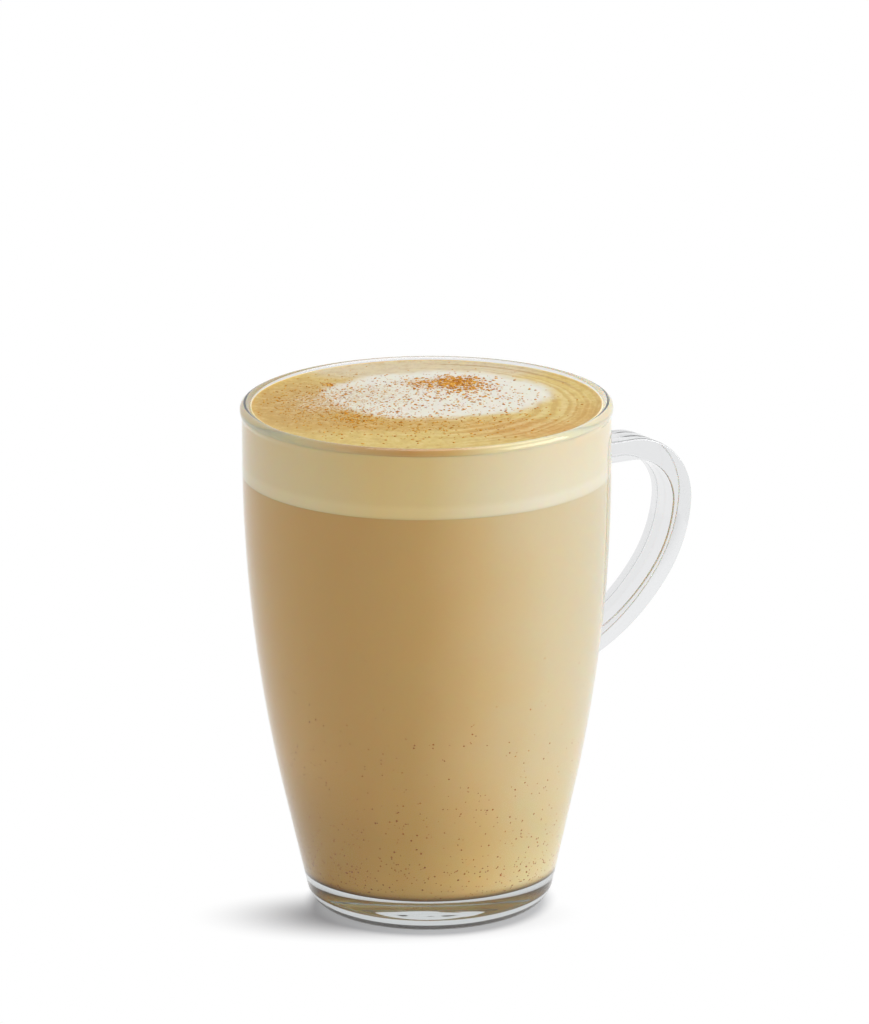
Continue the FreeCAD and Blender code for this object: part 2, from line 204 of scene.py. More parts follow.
# %% [markdown]
# ## The glass mug
# The CAD mug is exact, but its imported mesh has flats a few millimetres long,
# and clear glass shows each of them as a kink in what is seen through it. So
# the visible mug is turned again from the same line with far more faces: the
# hollow under the foot, called the punt, then the outside, the rolled rim,
# the inside and the floor.

# %% Outline of the glass
FOOT_BEND = 6.0 * MM
PUNT_EDGE, PUNT_DEPTH, PUNT_BEVEL = 17.0 * MM, 2.3 * MM, 0.25 * MM
PUNT_FROM, PUNT_TO = 0.04, 0.985  # parts of the dome's half angle
LIP = 1.2 * MM
LIP_INSIDE = 1.4 * LIP  # how far below the rim the inside wall ends
BEAD_PROUD, BEAD, COVE = 0.4 * MM, 3.0 * MM, 1.5 * MM
OUTER = COLLAR_INNER + WALL
FLOOR_RINGS = 12


def arc_points(centre, radius, start, end, count):
    """Points on an arc in the (radius, height) plane, angles in radians."""
    return [(centre[0] + radius * math.cos(start + (end - start) * i / count),
             centre[1] + radius * math.sin(start + (end - start) * i / count))
            for i in range(count + 1)]


dome = (PUNT_EDGE ** 2 + PUNT_DEPTH ** 2) / (2 * PUNT_DEPTH)
dome_half = math.asin(PUNT_EDGE / dome)
punt = arc_points((0, PUNT_DEPTH - dome), dome,
                  math.pi / 2 - PUNT_FROM * dome_half,
                  math.pi / 2 - PUNT_TO * dome_half, 30)
bead_turn = math.acos(1 - BEAD_PROUD / (BEAD + COVE))
bead_z = cad_high.z - LIP
cove_z = bead_z - (BEAD + COVE) * math.sin(bead_turn)
outside = wall_line(WALL, 0, cove_z, bottom=0.0, bend=FOOT_BEND)
rim = (arc_points((OUTER + COVE, cove_z), COVE, math.pi,
                  math.pi - bead_turn, 4)[1:]
       + arc_points((OUTER + BEAD_PROUD - BEAD, bead_z), BEAD, -bead_turn,
                    0, 8)[1:]
       + arc_points((OUTER + BEAD_PROUD - LIP, bead_z), LIP, 0,
                    math.pi, 20)[1:])
inside = wall_line(0, 0, cad_high.z - LIP_INSIDE)[::-1]
floor_line = [(inside[-1][0] * k / FLOOR_RINGS, FLOOR)
              for k in range(FLOOR_RINGS - 1, 0, -1)]
glass_outline = (punt + [(PUNT_EDGE + PUNT_BEVEL, 0.0)] + outside + rim
                 + inside + floor_line)
print(f"glass outline: {len(glass_outline)} points")

# %% [markdown]
# ## The punt
# A pressed mug's punt is never quite true, and it is what breaks up the light
# in a thick foot. So its dome is drawn 2.3 mm deep, 0.9 mm more than in the
# CAD, and gets a ripple of about a tenth of a millimetre while it is turned.
# A bump in the material would bend the light too, but its outline would stay
# a perfect dome.

# %% Turn the glass
RIPPLE, RIPPLE_WIDTH = 0.13 * MM, 3.5 * MM
RIPPLE_EDGE = 0.95 * PUNT_EDGE


def rippled(x, y, z):
    """The punt's dome with a slow ripple; everything else as it is."""
    if z > PUNT_DEPTH or math.hypot(x, y) > RIPPLE_EDGE:
        return z
    return z + RIPPLE * noise.noise(Vector((x, y, 0)) / RIPPLE_WIDTH)


mug_points, mug_faces = turned(glass_outline, around=288, lift=rippled)
glass_body = bpy.data.meshes.new("glass_body")
glass_body.from_pydata(mug_points, [], mug_faces)
print("turned glass:", len(mug_points), "points,", len(mug_faces), "faces")

# %% [markdown]
# ## The handle's line
# The handle is a glass ribbon bent to a level arm, a tight bend, a wide grip
# and a long tail. A free curve would be quick, but a press shop draws such a
# handle with arcs that run into each other, so we give the arcs themselves
# and ask for the place and the direction after any length.

# %% The handle's centre line
ARM_LEVEL = 96.7 * MM
ARM_START = 30.0 * MM
HANDLE_ARCS = [  # centre x, centre z, radius (mm), from and to (degrees)
    (49.85, 84.05, 12.65, 90.0, -5.0),
    (33.16, 85.51, 29.40, -5.0, -35.5),
    (19.24, 95.44, 46.50, -35.5, -75.0)]
arm_length = HANDLE_ARCS[0][0] * MM - ARM_START
arc_lengths = [r * MM * math.radians(a - b) for _, _, r, a, b in HANDLE_ARCS]


def handle_centre(s):
    """Place and outward normal of the centre line after a length s."""
    if s <= arm_length:
        return ARM_START + s, ARM_LEVEL, 0.0, 1.0
    s -= arm_length
    for (x, z, r, a, b), length in zip(HANDLE_ARCS, arc_lengths):
        if s <= length or b == HANDLE_ARCS[-1][4]:
            t = math.radians(a + (b - a) * s / length)
            return (x * MM + r * MM * math.cos(t),
                    z * MM + r * MM * math.sin(t), math.cos(t), math.sin(t))
        s -= length


path_length = arm_length + sum(arc_lengths)
print("handle's centre line in mm:", round(path_length / MM, 1))

# %% [markdown]
# ## The ribbon's section and its roots
# The section is a rectangle with eased edges. They are eased a little less
# than the CAD's, as a round edge of clear glass bends the brown of the drink
# into a stripe, which flat fire-polished faces do not show. Close to the wall
# the ribbon swells by two millimetres, as molten glass does where it meets a
# wall, and each line along it ends inside the wall.

# %% Section and swelling roots
RIBBON_WIDE, RIBBON_THICK, RIBBON_EDGE = 9.5 * MM, 4.8 * MM, 0.4 * MM
ROOT_SWELL = 2.0 * MM
EDGE_STEPS = 8
section = []  # offset out, offset sideways, and the normal of the skin there
for quarter, (side, up) in enumerate(((1, 1), (-1, 1), (-1, -1), (1, -1))):
    for i in range(EDGE_STEPS + 1):
        t = math.pi / 2 * (quarter + i / EDGE_STEPS)
        section.append((
            up * (RIBBON_THICK / 2 - RIBBON_EDGE) + RIBBON_EDGE * math.sin(t),
            side * (RIBBON_WIDE / 2 - RIBBON_EDGE)
            + RIBBON_EDGE * math.cos(t), math.sin(t), math.cos(t)))
outer_line = wall_line(WALL, 0, cad_high.z, bottom=0.0, bend=FOOT_BEND)


def depth_in_wall(point):
    """How far a point is inside the mug's outer skin."""
    return wall_at(outer_line, point.z)[0] - math.hypot(point.x, point.y)


def ribbon_point(k, s):
    """Point k of the section after a length s, with the root's swelling."""
    out, side, n_out, n_side = section[k]
    x, z, nx, nz = handle_centre(s)
    point = Vector((x + nx * out, side, z + nz * out))
    gap = max(0.0, -depth_in_wall(point))
    if gap < ROOT_SWELL:
        swell = ROOT_SWELL - math.sqrt(ROOT_SWELL ** 2
                                       - (ROOT_SWELL - gap) ** 2)
        point += Vector((nx * n_out, n_side, nz * n_out)) * swell
    return point


def root_of(k, inside_s, outside_s):
    """The length at which line k is half the wall's depth inside it."""
    for _ in range(40):  # halved far below a micrometre
        middle = (inside_s + outside_s) / 2
        if depth_in_wall(ribbon_point(k, middle)) > WALL / 2:
            inside_s = middle
        else:
            outside_s = middle
    return outside_s


print("ribbon section:", len(section), "points")

# %% [markdown]
# ## The ribbon's skin
# Every point of the section draws one line from root to root, and
# neighbouring lines are filled with faces. The stations along a line lie
# closer near the roots, where the swelling turns fast.

# %% Sweep the ribbon
STATIONS = 200
CROWDING = 0.12
tail_start = path_length - arc_lengths[-1]
lines = []
for k in range(len(section)):
    first = root_of(k, 0.0, arm_length)
    last = root_of(k, path_length, tail_start)
    line = []
    for i in range(STATIONS + 1):
        even = i / STATIONS
        crowded = even - CROWDING * math.sin(2 * math.pi * even) / math.pi
        line.append(ribbon_point(k, first + (last - first) * crowded))
    lines.append(line)
sides = len(section)
ribbon_points = [tuple(lines[k][i]) for i in range(STATIONS + 1)
                 for k in range(sides)]
ribbon_faces = [tuple(range(sides)),
                tuple(STATIONS * sides + k for k in reversed(range(sides)))]
for i in range(STATIONS):
    for k in range(sides):
        a, b = i * sides + k, i * sides + (k + 1) % sides
        ribbon_faces.append((a, a + sides, b + sides, b))
ribbon_mesh = bpy.data.meshes.new("ribbon")
ribbon_mesh.from_pydata(ribbon_points, [], ribbon_faces)
print("ribbon:", len(ribbon_points), "points,", len(ribbon_faces), "faces")

# %% [markdown]
# ## One piece of glass
# Mug and handle are fused while hot, so no surface is left between them. Two
# solids that only overlap would show one inside the other through clear
# glass. A boolean union takes the hidden faces away. It needs the faces of
# both solids to point outwards, so these are turned first.

# %% Join mug and handle into one glass
body_object = bpy.data.objects.new("glass_body", glass_body)
ribbon_object = bpy.data.objects.new("ribbon", ribbon_mesh)
for helper in (body_object, ribbon_object):
    bpy.context.scene.collection.objects.link(helper)
    work = bmesh.new()
    work.from_mesh(helper.data)
    bmesh.ops.recalc_face_normals(work, faces=work.faces)
    work.to_mesh(helper.data)
    work.free()
joining = body_object.modifiers.new("joining", "BOOLEAN")
joining.operation, joining.solver = "UNION", "EXACT"
joining.object = ribbon_object
depsgraph = bpy.context.evaluated_depsgraph_get()
joined = bpy.data.meshes.new_from_object(body_object.evaluated_get(depsgraph))
for helper in (body_object, ribbon_object):
    bpy.data.objects.remove(helper)
mug_glass = finished("mug_glass", joined,
                     replaces=["glass_mug"])

# %% [markdown]
# ## The milky coffee
# Espresso stirred into steamed milk settles under its foam. It is one body of
# liquid, so it is one turned piece, from the floor of the mug to the foam.
# Its skin reaches 0.15 mm into the glass. That hides the thin gap that the
# CAD leaves between solids, and the curved glass then magnifies the drink to
# the very edge of the mug, as it does on a real one.

# %% Latte
latte_line = wall_line(REACH, 0, BOUNDARY)
latte = finished("latte_body", mesh_from(*turned(latte_line)),
                 replaces=["latte"])

# %% [markdown]
# ## The foam
# The foam has two parts. Below is the thick white-cream foam, seen through
# the collar. Above is the skin of crema, stained by coffee oils and swirled
# by the pour. They are separate pieces, because the skin needs a fine mesh
# for its ripples and the body does not.

# %% Foam body under the skin
SKIN_DEPTH = 0.9 * MM
foam_top = FOAM_EDGE - SKIN_DEPTH
foam_line = wall_line(REACH, BOUNDARY, foam_top)
foam = finished("foam_body", mesh_from(*turned(foam_line)),
                replaces=["milk_foam"])

# %% [markdown]
# ## The serving side
# A drinker sees the mug with the handle to the right and a little behind.
# Things on the foam are placed from there: so far to the right of the middle,
# and so far back. One function turns those into the mug's own X and Y.

# %% Places on the foam
SERVING_TURN = math.radians(30)


def spot(right, back):
    """X and Y of a place right of the middle and back from it."""
    c, s = math.cos(SERVING_TURN), math.sin(SERVING_TURN)
    return right * c + back * s, -right * s + back * c


ISLAND = spot(2.0 * MM, 7.5 * MM)
print("middle of the white island in mm:", [round(v / MM, 1) for v in ISLAND])

# %% [markdown]
# ## The foam's surface
# The top of a poured latte is nearly flat. It crowns a little, swells where
# the last milk went in, climbs the glass at the edge, and carries faint rings
# from the turning of the cup. We give one height to every point, from a few
# smooth terms and noise, and the spice uses the same function later, so each
# flake sits on the foam.

# %% Height of the foam
CROWN = 0.45 * MM
ISLAND_RISE, ISLAND_WIDTH = 0.10 * MM, 15 * MM
CLIMB, CLIMB_WIDTH = 0.4 * MM, 0.8 * MM
RING_SPACING = 2.6 * MM


def foam_height(x, y):
    """Height of the foam's surface over a point of the mug."""
    r = math.hypot(x, y)
    out = min(1.0, r / COLLAR_INNER)
    height = FOAM_EDGE + CROWN * (1 - out * out)
    to_island = math.hypot(x - ISLAND[0], y - ISLAND[1])
    height += ISLAND_RISE * math.exp(-((to_island / ISLAND_WIDTH) ** 2))
    broad = noise.noise(Vector((x, y, 0)) / (9 * MM))
    fine = noise.noise(Vector((x, y, 5 * MM)) / (2.2 * MM))
    tiny = noise.noise(Vector((x, y, 9 * MM)) / (0.8 * MM))
    rings = math.sin(2 * math.pi * r / RING_SPACING + 2.5 * broad)
    height += CLIMB * math.exp((r - COLLAR_INNER) / CLIMB_WIDTH)
    calm_edge = 1 - out ** 8
    height += calm_edge * MM * (
        0.07 * broad + 0.030 * fine + 0.012 * tiny + 0.012 * rings)
    return height


print("foam in mm, middle and near the glass:",
      round(foam_height(0, 0) / MM, 2),
      round(foam_height(COLLAR_INNER - MM, 0) / MM, 2))

# %% [markdown]
# ## The crema skin
# The skin is a thin lid on the foam's body, with a flat underside and an edge
# that lies against the glass. It could be a displaced disc, but then its
# finest ripples would depend on a modifier. We turn it on the lathe and lift
# its upper rings to the foam's height, so the ripples are in the mesh.

# %% Crema skin mesh
SKIN_RINGS, SKIN_AROUND = 150, 480
SKIN_OVERLAP = 0.02 * MM  # into the foam's body, so that no gap shows
EASED_FROM, EASED_TO = 0.35 * MM, 0.12 * MM  # below the skin's upper edge
skin_base = foam_top - SKIN_OVERLAP
skin_side = COLLAR_INNER + REACH
skin_rim = [(0.02 * COLLAR_INNER, skin_base), (0.5 * COLLAR_INNER, skin_base),
            (skin_side, skin_base), (skin_side, FOAM_EDGE - EASED_FROM),
            (COLLAR_INNER + REACH * 0.9, FOAM_EDGE - EASED_TO)]
skin_top = [(COLLAR_INNER * (0.999 * (1 - i / SKIN_RINGS) + 0.001), 0)
            for i in range(SKIN_RINGS)]
skin_points, skin_faces = turned(skin_rim + skin_top, SKIN_AROUND)
for i in range(1 + len(skin_rim) * SKIN_AROUND, len(skin_points)):
    x, y, _ = skin_points[i]
    skin_points[i] = (x, y, foam_height(x, y))
crema = finished("crema_skin", mesh_from(skin_points, skin_faces))

# %% [markdown]
# ## Spice
# Ground cinnamon, nutmeg and clove are small splinters of bark and seed, not
# balls. Each flake starts as a rough stone with twelve corners, is stretched,
# flattened and shaken, and lies flat on the foam. The flakes of one kind are
# joined into one piece, since nobody picks them up one by one.

# %% Flakes
GOLD = (1 + 5 ** 0.5) / 2
STONE = [Vector(p).normalized() for p in (
    (-1, GOLD, 0), (1, GOLD, 0), (-1, -GOLD, 0), (1, -GOLD, 0),
    (0, -1, GOLD), (0, 1, GOLD), (0, -1, -GOLD), (0, 1, -GOLD),
    (GOLD, 0, -1), (GOLD, 0, 1), (-GOLD, 0, -1), (-GOLD, 0, 1))]
STONE_FACES = [
    (0, 11, 5), (0, 5, 1), (0, 1, 7), (0, 7, 10), (0, 10, 11),
    (1, 5, 9), (5, 11, 4), (11, 10, 2), (10, 7, 6), (7, 1, 8),
    (3, 9, 4), (3, 4, 2), (3, 2, 6), (3, 6, 8), (3, 8, 9),
    (4, 9, 5), (2, 4, 11), (6, 2, 10), (8, 6, 7), (9, 8, 1)]


def flake(store, rng, centre, normal, size, flat=0.35, long=1.6):
    """Adds one rough splinter to store = (points, faces)."""
    points, faces = store
    first = len(points)
    turn = normal.to_track_quat("Z", "Y").to_matrix() @ Matrix.Rotation(
        rng.uniform(0, 2 * math.pi), 3, "Z")
    stretch = rng.uniform(1.0, long)
    for corner in STONE:
        shaken = corner * rng.uniform(0.75, 1.2)
        local = Vector((shaken.x * stretch, shaken.y / stretch ** 0.5,
                        shaken.z * flat)) * (size / 2)
        points.append(tuple(centre + turn @ local))
    faces.extend(tuple(first + k for k in f) for f in STONE_FACES)


print("one flake:", len(STONE), "corners,", len(STONE_FACES), "faces")

# %% [markdown]
# ## Where the spice falls
# A shaker held over the cup never sprinkles evenly. Here the left third and
# the front have most, a heap lies on the white island where the first pinch
# fell, and the right stays nearly clean. Each such area is a soft patch: its
# place, its two widths and how many flakes it gets.

# %% Spice on the foam
PATCH_SPREAD = 0.75  # of the half width, as a normal spread
KEEP_OFF_GLASS = 0.7 * MM
SPICE_PATCHES = [
    # right, back, half width, half depth (mm), flakes, smallest, largest
    (-24.0, 4.0, 9.0, 12.0, 760, 0.20, 0.60),
    (-14.0, -8.0, 11.0, 9.0, 620, 0.20, 0.62),
    (-8.0, 12.0, 11.0, 9.0, 430, 0.18, 0.60),
    (4.0, -20.0, 16.0, 7.0, 300, 0.22, 0.75),
    (8.0, 5.0, 13.0, 9.0, 280, 0.25, 0.85),
    (18.0, -6.0, 9.0, 9.0, 90, 0.25, 0.80),
    (6.5, 18.5, 4.6, 4.6, 620, 0.30, 0.95),
    (11.0, 13.0, 5.0, 4.0, 160, 0.25, 0.95),
    (0.5, 17.5, 4.0, 3.5, 130, 0.22, 0.80),
    (-21.4, 17.8, 0.8, 1.0, 40, 0.30, 0.70),
    (-14.5, -11.5, 3.4, 3.0, 150, 0.28, 0.80),
    (0.0, 0.0, 26.0, 26.0, 330, 0.18, 0.65),
]
spice_rng = random.Random(11)
spice = ([], [])
for right, back, wide, deep, count, small, large in SPICE_PATCHES:
    made = 0
    while made < count:
        u = spice_rng.gauss(right, wide * PATCH_SPREAD) * MM
        v = spice_rng.gauss(back, deep * PATCH_SPREAD) * MM
        if math.hypot(u, v) > COLLAR_INNER - KEEP_OFF_GLASS:
            continue
        x, y = spot(u, v)
        size = small + (large - small) * spice_rng.random() ** 2.2
        place = Vector((x, y, foam_height(x, y) + 0.02 * size * MM))
        lean = Vector((spice_rng.uniform(-0.15, 0.15),
                       spice_rng.uniform(-0.15, 0.15), 1)).normalized()
        flake(spice, spice_rng, place, lean, size * MM)
        made += 1
spice_flakes = finished("spice_flakes", mesh_from(*spice))

# %% [markdown]
# ## Specks sunk in the coffee
# The finest spice sinks. It hangs in the lower half of the drink and settles
# on the floor, and we see the grains that lie against the glass. So grains
# are set into the coffee's skin, few at mid height and many near the floor.

# %% Specks against the glass
SPECKS = 1700
LOWEST_SPECK, SPECK_RANGE = FLOOR + 0.5 * MM, 58 * MM
SPECK_PROUD = 0.05 * MM  # its middle lies this far into the glass
speck_rng = random.Random(23)
specks = ([], [])
for _ in range(SPECKS):
    rise = speck_rng.random() * speck_rng.random()
    z = LOWEST_SPECK + rise * SPECK_RANGE
    radius, slope = wall_at(latte_line, z)
    a = speck_rng.uniform(0, 2 * math.pi)
    out = Vector((math.cos(a) * math.sin(slope),
                  math.sin(a) * math.sin(slope), -math.cos(slope)))
    place = Vector((radius * math.cos(a), radius * math.sin(a), z))
    size = (0.24 + 0.24 * speck_rng.random() ** 2) * MM
    flake(specks, speck_rng, place + out * SPECK_PROUD, out, size,
          flat=0.3, long=1.15)
sunk_specks = finished("sunk_spice", mesh_from(*specks))

# %% [markdown]
# ## Materials: helpers
# Colours are picked as sRGB hex values, the way a paint card gives them, and
# Blender's shaders want linear light, so one function converts them. A second
# function adds any node with its settings, links and, on a ramp, its tones,
# which keeps a recipe readable as a list. A third gives a point's place as
# seen from the serving side, since the drink's tones change from left to
# right of it.

# %% Colour and node helpers
def linear(code):
    """A hex colour as linear red, green, blue and full alpha."""
    parts = [int(code[i:i + 2], 16) / 255 for i in (0, 2, 4)]
    return tuple(p / 12.92 if p <= 0.04045 else ((p + 0.055) / 1.055) ** 2.4
                 for p in parts) + (1.0,)


def add(tree, kind, inputs=None, tones=(), **settings):
    """Adds one node. A node as an input means its first output.

    Tones are pairs of a position and a hex colour, for a ramp."""
    node = tree.nodes.new("ShaderNode" + kind)
    for key, value in settings.items():
        setattr(node, key, value)
    for key, value in (inputs or {}).items():
        if isinstance(value, bpy.types.Node):
            value = value.outputs[0]
        if isinstance(value, bpy.types.NodeSocket):
            tree.links.new(value, node.inputs[key])
        else:
            node.inputs[key].default_value = value
    if tones:
        stops = node.color_ramp.elements
        stops[0].position, stops[-1].position = tones[0][0], tones[-1][0]
        for position, _ in tones[1:-1]:
            stops.new(position)
        for stop, (_, code) in zip(stops, tones):
            stop.color = linear(code)
    return node


def serving_place(tree, unit=1.0):
    """The place on the piece, and the same as (right, back, up) in a unit."""
    place = add(tree, "TexCoord")
    serving = add(tree, "Mapping", {
        "Vector": place.outputs["Object"], "Rotation": (0, 0, SERVING_TURN),
        "Scale": (1 / unit, 1 / unit, 1 / unit)})
    return place, serving


def new_material(name, *pieces):
    """A new empty node material, given to the pieces."""
    material = bpy.data.materials.new(name)
    material.use_nodes = True
    material.node_tree.nodes.clear()
    for piece in pieces:
        piece.data.materials.clear()
        piece.data.materials.append(material)
    print("material", name, "on", [piece.name for piece in pieces])
    return material.node_tree


print("mid grey 808080 in linear light:", round(linear("808080")[0], 3))

# %% [markdown]
# ## Glass
# The mug is soda-lime glass, pressed in a steel mould and fire-polished, so
# it is clear and very slightly wavy. Its IOR is 1.52. Traces of iron make a
# thick edge look green. A path tracer finds it hard to light a drink through
# real refraction, so for shadow rays and for light that bounces off the drink
# the glass is made transparent: it still bends everything that we look at.
# The polish is a bump with waves nine millimetres wide, too weak to see but
# enough to keep reflections from being ruler straight.

# %% Pressed soda-lime glass
GLASS_IOR = 1.52
WAVE_WIDTH, WAVE_DEPTH = 9 * MM, 0.4 * MM
IRON_DENSITY = 34.0  # per metre
tree = new_material("fire_polished_soda_lime_glass", mug_glass)
place = add(tree, "TexCoord")
ripple = add(tree, "TexNoise", {
    "Vector": place.outputs["Object"], "Scale": 1 / WAVE_WIDTH,
    "Detail": 1.0, "Roughness": 0.4})
polish = add(tree, "Bump", {
    "Height": ripple, "Strength": 0.04, "Distance": WAVE_DEPTH})
clear = add(tree, "BsdfPrincipled", {
    "Base Color": linear("FFFFFF"), "Roughness": 0.0, "IOR": GLASS_IOR,
    "Transmission Weight": 1.0, "Normal": polish})
open_way = add(tree, "BsdfTransparent", {"Color": linear("FDFEFD")})
rays = add(tree, "LightPath")
for_shadow = add(tree, "MixShader", {
    0: rays.outputs["Is Shadow Ray"], 1: clear, 2: open_way})
for_bounce = add(tree, "MixShader", {
    0: rays.outputs["Is Diffuse Ray"], 1: for_shadow, 2: open_way})
iron = add(tree, "VolumeAbsorption", {
    "Color": linear("E6E9E9"), "Density": IRON_DENSITY})
add(tree, "OutputMaterial", {"Surface": for_bounce, "Volume": iron})

# %% [markdown]
# ## Milky coffee
# Coffee with steamed milk is a cloudy liquid: light goes in, scatters on fat
# and milk protein, and comes out warmer, because blue is absorbed on the way.
# That is subsurface scattering, with the longest path for red. From left to
# right of the serving side its tones are painted light and shade: a brighter,
# richer gold on the shaded left and a greyer tone on the lit right, with a
# swirl of noise in the border. Low on the left, a darker golden tint is
# painted shade. By height, a thin dark line runs along the very bottom, and
# the lowest part is painted paler, as painted light on the rounded foot.
# Light wanders so far inside a cloudy drink that its rounded foot is as
# bright as its side. Turning the shading normal level does the same.

# %% Spiced milk coffee
MILK_IOR = 1.35
LATTE_HALF = 40 * MM
CLOUD_WIDTH, SWAY = 22 * MM, 3 * MM
SHADE_START_X, SHADE_FULL_X = -10 * MM, -26 * MM  # painted shade, low left
SHADE_START_Z, SHADE_FULL_Z = 38 * MM, 14 * MM
# Tones from left to right, painted light and shade: richer gold on the shaded left, greyer
# on the lit right.
LATTE_SIDE_LIGHT_TONES = [(0.0, "E8BB6C"), (0.3, "DFB05E"), (0.45, "DAB062"),
               (0.62, "DFBD7F"), (0.8, "DCC89C"), (1.0, "D3C5A5")]
# Tones by height: a thin dark line at the very bottom, then a paler lowest part, painted
# light on the rounded foot.
LINE_AND_PAINTED_LIFT_TONES = [(0.0, "7C7474"), (0.006, "9A9080"), (0.012, "E8DCC0"),
                 (0.022, "FDFDF0"), (0.08, "F6F5E3"), (0.16, "F1EFDE"),
                 (0.3, "F4F2EC"), (0.5, "F4F4F4"), (1.0, "F4F4F4")]
tree = new_material("spiced_milk_coffee", latte)
place, serving = serving_place(tree)
split = add(tree, "SeparateXYZ", {"Vector": serving})
cloud = add(tree, "TexNoise", {
    "Vector": place.outputs["Object"], "Scale": 1 / CLOUD_WIDTH,
    "Detail": 2.0})
sway = add(tree, "MapRange", {
    "Value": cloud, "From Min": 0.3, "From Max": 0.7,
    "To Min": -SWAY, "To Max": SWAY})
across = add(tree, "Math", {0: split.outputs["X"], 1: sway}, operation="ADD")
# Painted light and shade from left to right, its border swayed by noise.
side_ramp = add(tree, "MapRange", {
    "Value": across, "From Min": -LATTE_HALF, "From Max": LATTE_HALF})
painted_side_light = add(tree, "ValToRGB", {"Fac": side_ramp}, tones=LATTE_SIDE_LIGHT_TONES)
# Painted light by height, paler low down, over a thin dark line at the bottom.
height = add(tree, "MapRange", {
    "Value": split.outputs["Z"], "From Min": FLOOR, "From Max": BOUNDARY})
line_and_painted_lift = add(tree, "ValToRGB", {"Fac": height}, tones=LINE_AND_PAINTED_LIFT_TONES)
tinted = add(tree, "Mix", {
    0: 1.0, 6: painted_side_light, 7: line_and_painted_lift}, data_type="RGBA", blend_type="MULTIPLY")
# Painted shade: a darker golden tint low on the left of the drink.
shade_leftward = add(tree, "MapRange", {
    "Value": split.outputs["X"], "From Min": SHADE_START_X,
    "From Max": SHADE_FULL_X})
shade_downward = add(tree, "MapRange", {
    "Value": split.outputs["Z"], "From Min": SHADE_START_Z,
    "From Max": SHADE_FULL_Z})
painted_low_left_shade = add(tree, "Math", {0: shade_leftward, 1: shade_downward}, operation="MULTIPLY")
shaded_coffee_colour = add(tree, "Mix", {
    0: painted_low_left_shade, 6: tinted.outputs[2], 7: linear("DDD49C")},
    data_type="RGBA", blend_type="MULTIPLY")
skin = add(tree, "NewGeometry")
sideways = add(tree, "VectorMath", {
    0: skin.outputs["Normal"], 1: (1, 1, 0.2)}, operation="MULTIPLY")
even = add(tree, "VectorMath", {0: sideways}, operation="NORMALIZE")
coffee = add(tree, "BsdfPrincipled", {
    "Normal": even, "Base Color": shaded_coffee_colour.outputs[2], "Roughness": 0.35,
    "IOR": MILK_IOR, "Specular IOR Level": 0.1, "Subsurface Weight": 1.0,
    "Subsurface Radius": (1.0, 0.5, 0.25), "Subsurface Scale": 0.5 * MM})
add(tree, "OutputMaterial", {"Surface": coffee})

# %% [markdown]
# ## Steamed milk foam
# Steamed milk foam is a mass of bubbles too small to see, so it looks like
# smooth cream. Coffee oils rise into it, which is why it is cream and not
# white, and its lowest millimetres, which drain last, are paler. From left to
# right its tones are painted light and shade: brighter, richer cream on the
# shaded left and greyer on the lit right.

# %% Milk foam
FOAM_SIDE_LIGHT_TONES = [(0.0, "F9E6C0"), (0.2, "F8E4B4"), (0.36, "F4DA9C"),
              (0.5, "ECD59C"), (0.65, "E8DCBE"), (0.8, "E6DECC"),
              (1.0, "DED7C8")]
BUBBLE_WIDTH = 0.5 * MM  # drawn coarser than the real froth, so that it shows
DRAINED_TONES = [(0.0, "F0EBDC"), (0.05, "FAF7EE"), (0.15, "FBF9F0"),
                 (0.24, "F6F1E2"), (1.0, "F6EED8")]
tree = new_material("steamed_milk_foam", foam)
place, serving = serving_place(tree)
split = add(tree, "SeparateXYZ", {"Vector": serving})
# Painted light and shade from left to right of the serving side.
side_ramp = add(tree, "MapRange", {
    "Value": split.outputs["X"], "From Min": -LATTE_HALF,
    "From Max": LATTE_HALF})
painted_foam_side_light = add(tree, "ValToRGB", {"Fac": side_ramp}, tones=FOAM_SIDE_LIGHT_TONES)
height = add(tree, "MapRange", {
    "Value": split.outputs["Z"], "From Min": BOUNDARY, "From Max": foam_top})
drained = add(tree, "ValToRGB", {"Fac": height}, tones=DRAINED_TONES)
tinted = add(tree, "Mix", {
    0: 1.0, 6: painted_foam_side_light, 7: drained}, data_type="RGBA", blend_type="MULTIPLY")
froth = add(tree, "TexNoise", {
    "Vector": place.outputs["Object"], "Scale": 1 / BUBBLE_WIDTH,
    "Detail": 2.0})
bubbles = add(tree, "Bump", {
    "Height": froth, "Strength": 0.15, "Distance": 0.1 * MM})
foam_shader = add(tree, "BsdfPrincipled", {
    "Base Color": tinted.outputs[2], "Roughness": 0.5, "IOR": MILK_IOR,
    "Specular IOR Level": 0.1, "Subsurface Weight": 1.0,
    "Subsurface Radius": (1.0, 0.6, 0.3), "Subsurface Scale": 0.4 * MM,
    "Normal": bubbles})
add(tree, "OutputMaterial", {"Surface": foam_shader})

# %% [markdown]
# ## Crema: soft patches
# The skin is foam stained by coffee, and its colour comes in layers, each
# laid over the last where a mask says so. A mask is an oval on the foam. Its
# distances are bent by noise seven millimetres wide, so that its edge wanders
# as milk does in coffee. All measures in this material are in millimetres.

# %% Masks for the crema
BEND_WIDTH, BEND_REACH = 7.0, 7.0
tree = new_material("coffee_crema_on_microfoam", crema)
_, serving = serving_place(tree, MM)
warp = add(tree, "TexNoise", {
    "Vector": serving, "Scale": 1 / BEND_WIDTH, "Detail": 3.0,
    "Roughness": 0.55})
shift = add(tree, "VectorMath", {
    0: warp.outputs["Color"], 1: (0.5, 0.5, 0.5)}, operation="SUBTRACT")
spread = add(tree, "VectorMath", {
    0: shift, "Scale": BEND_REACH}, operation="SCALE")
bent = add(tree, "VectorMath", {0: serving, 1: spread}, operation="ADD")
flat = add(tree, "SeparateXYZ", {"Vector": bent})


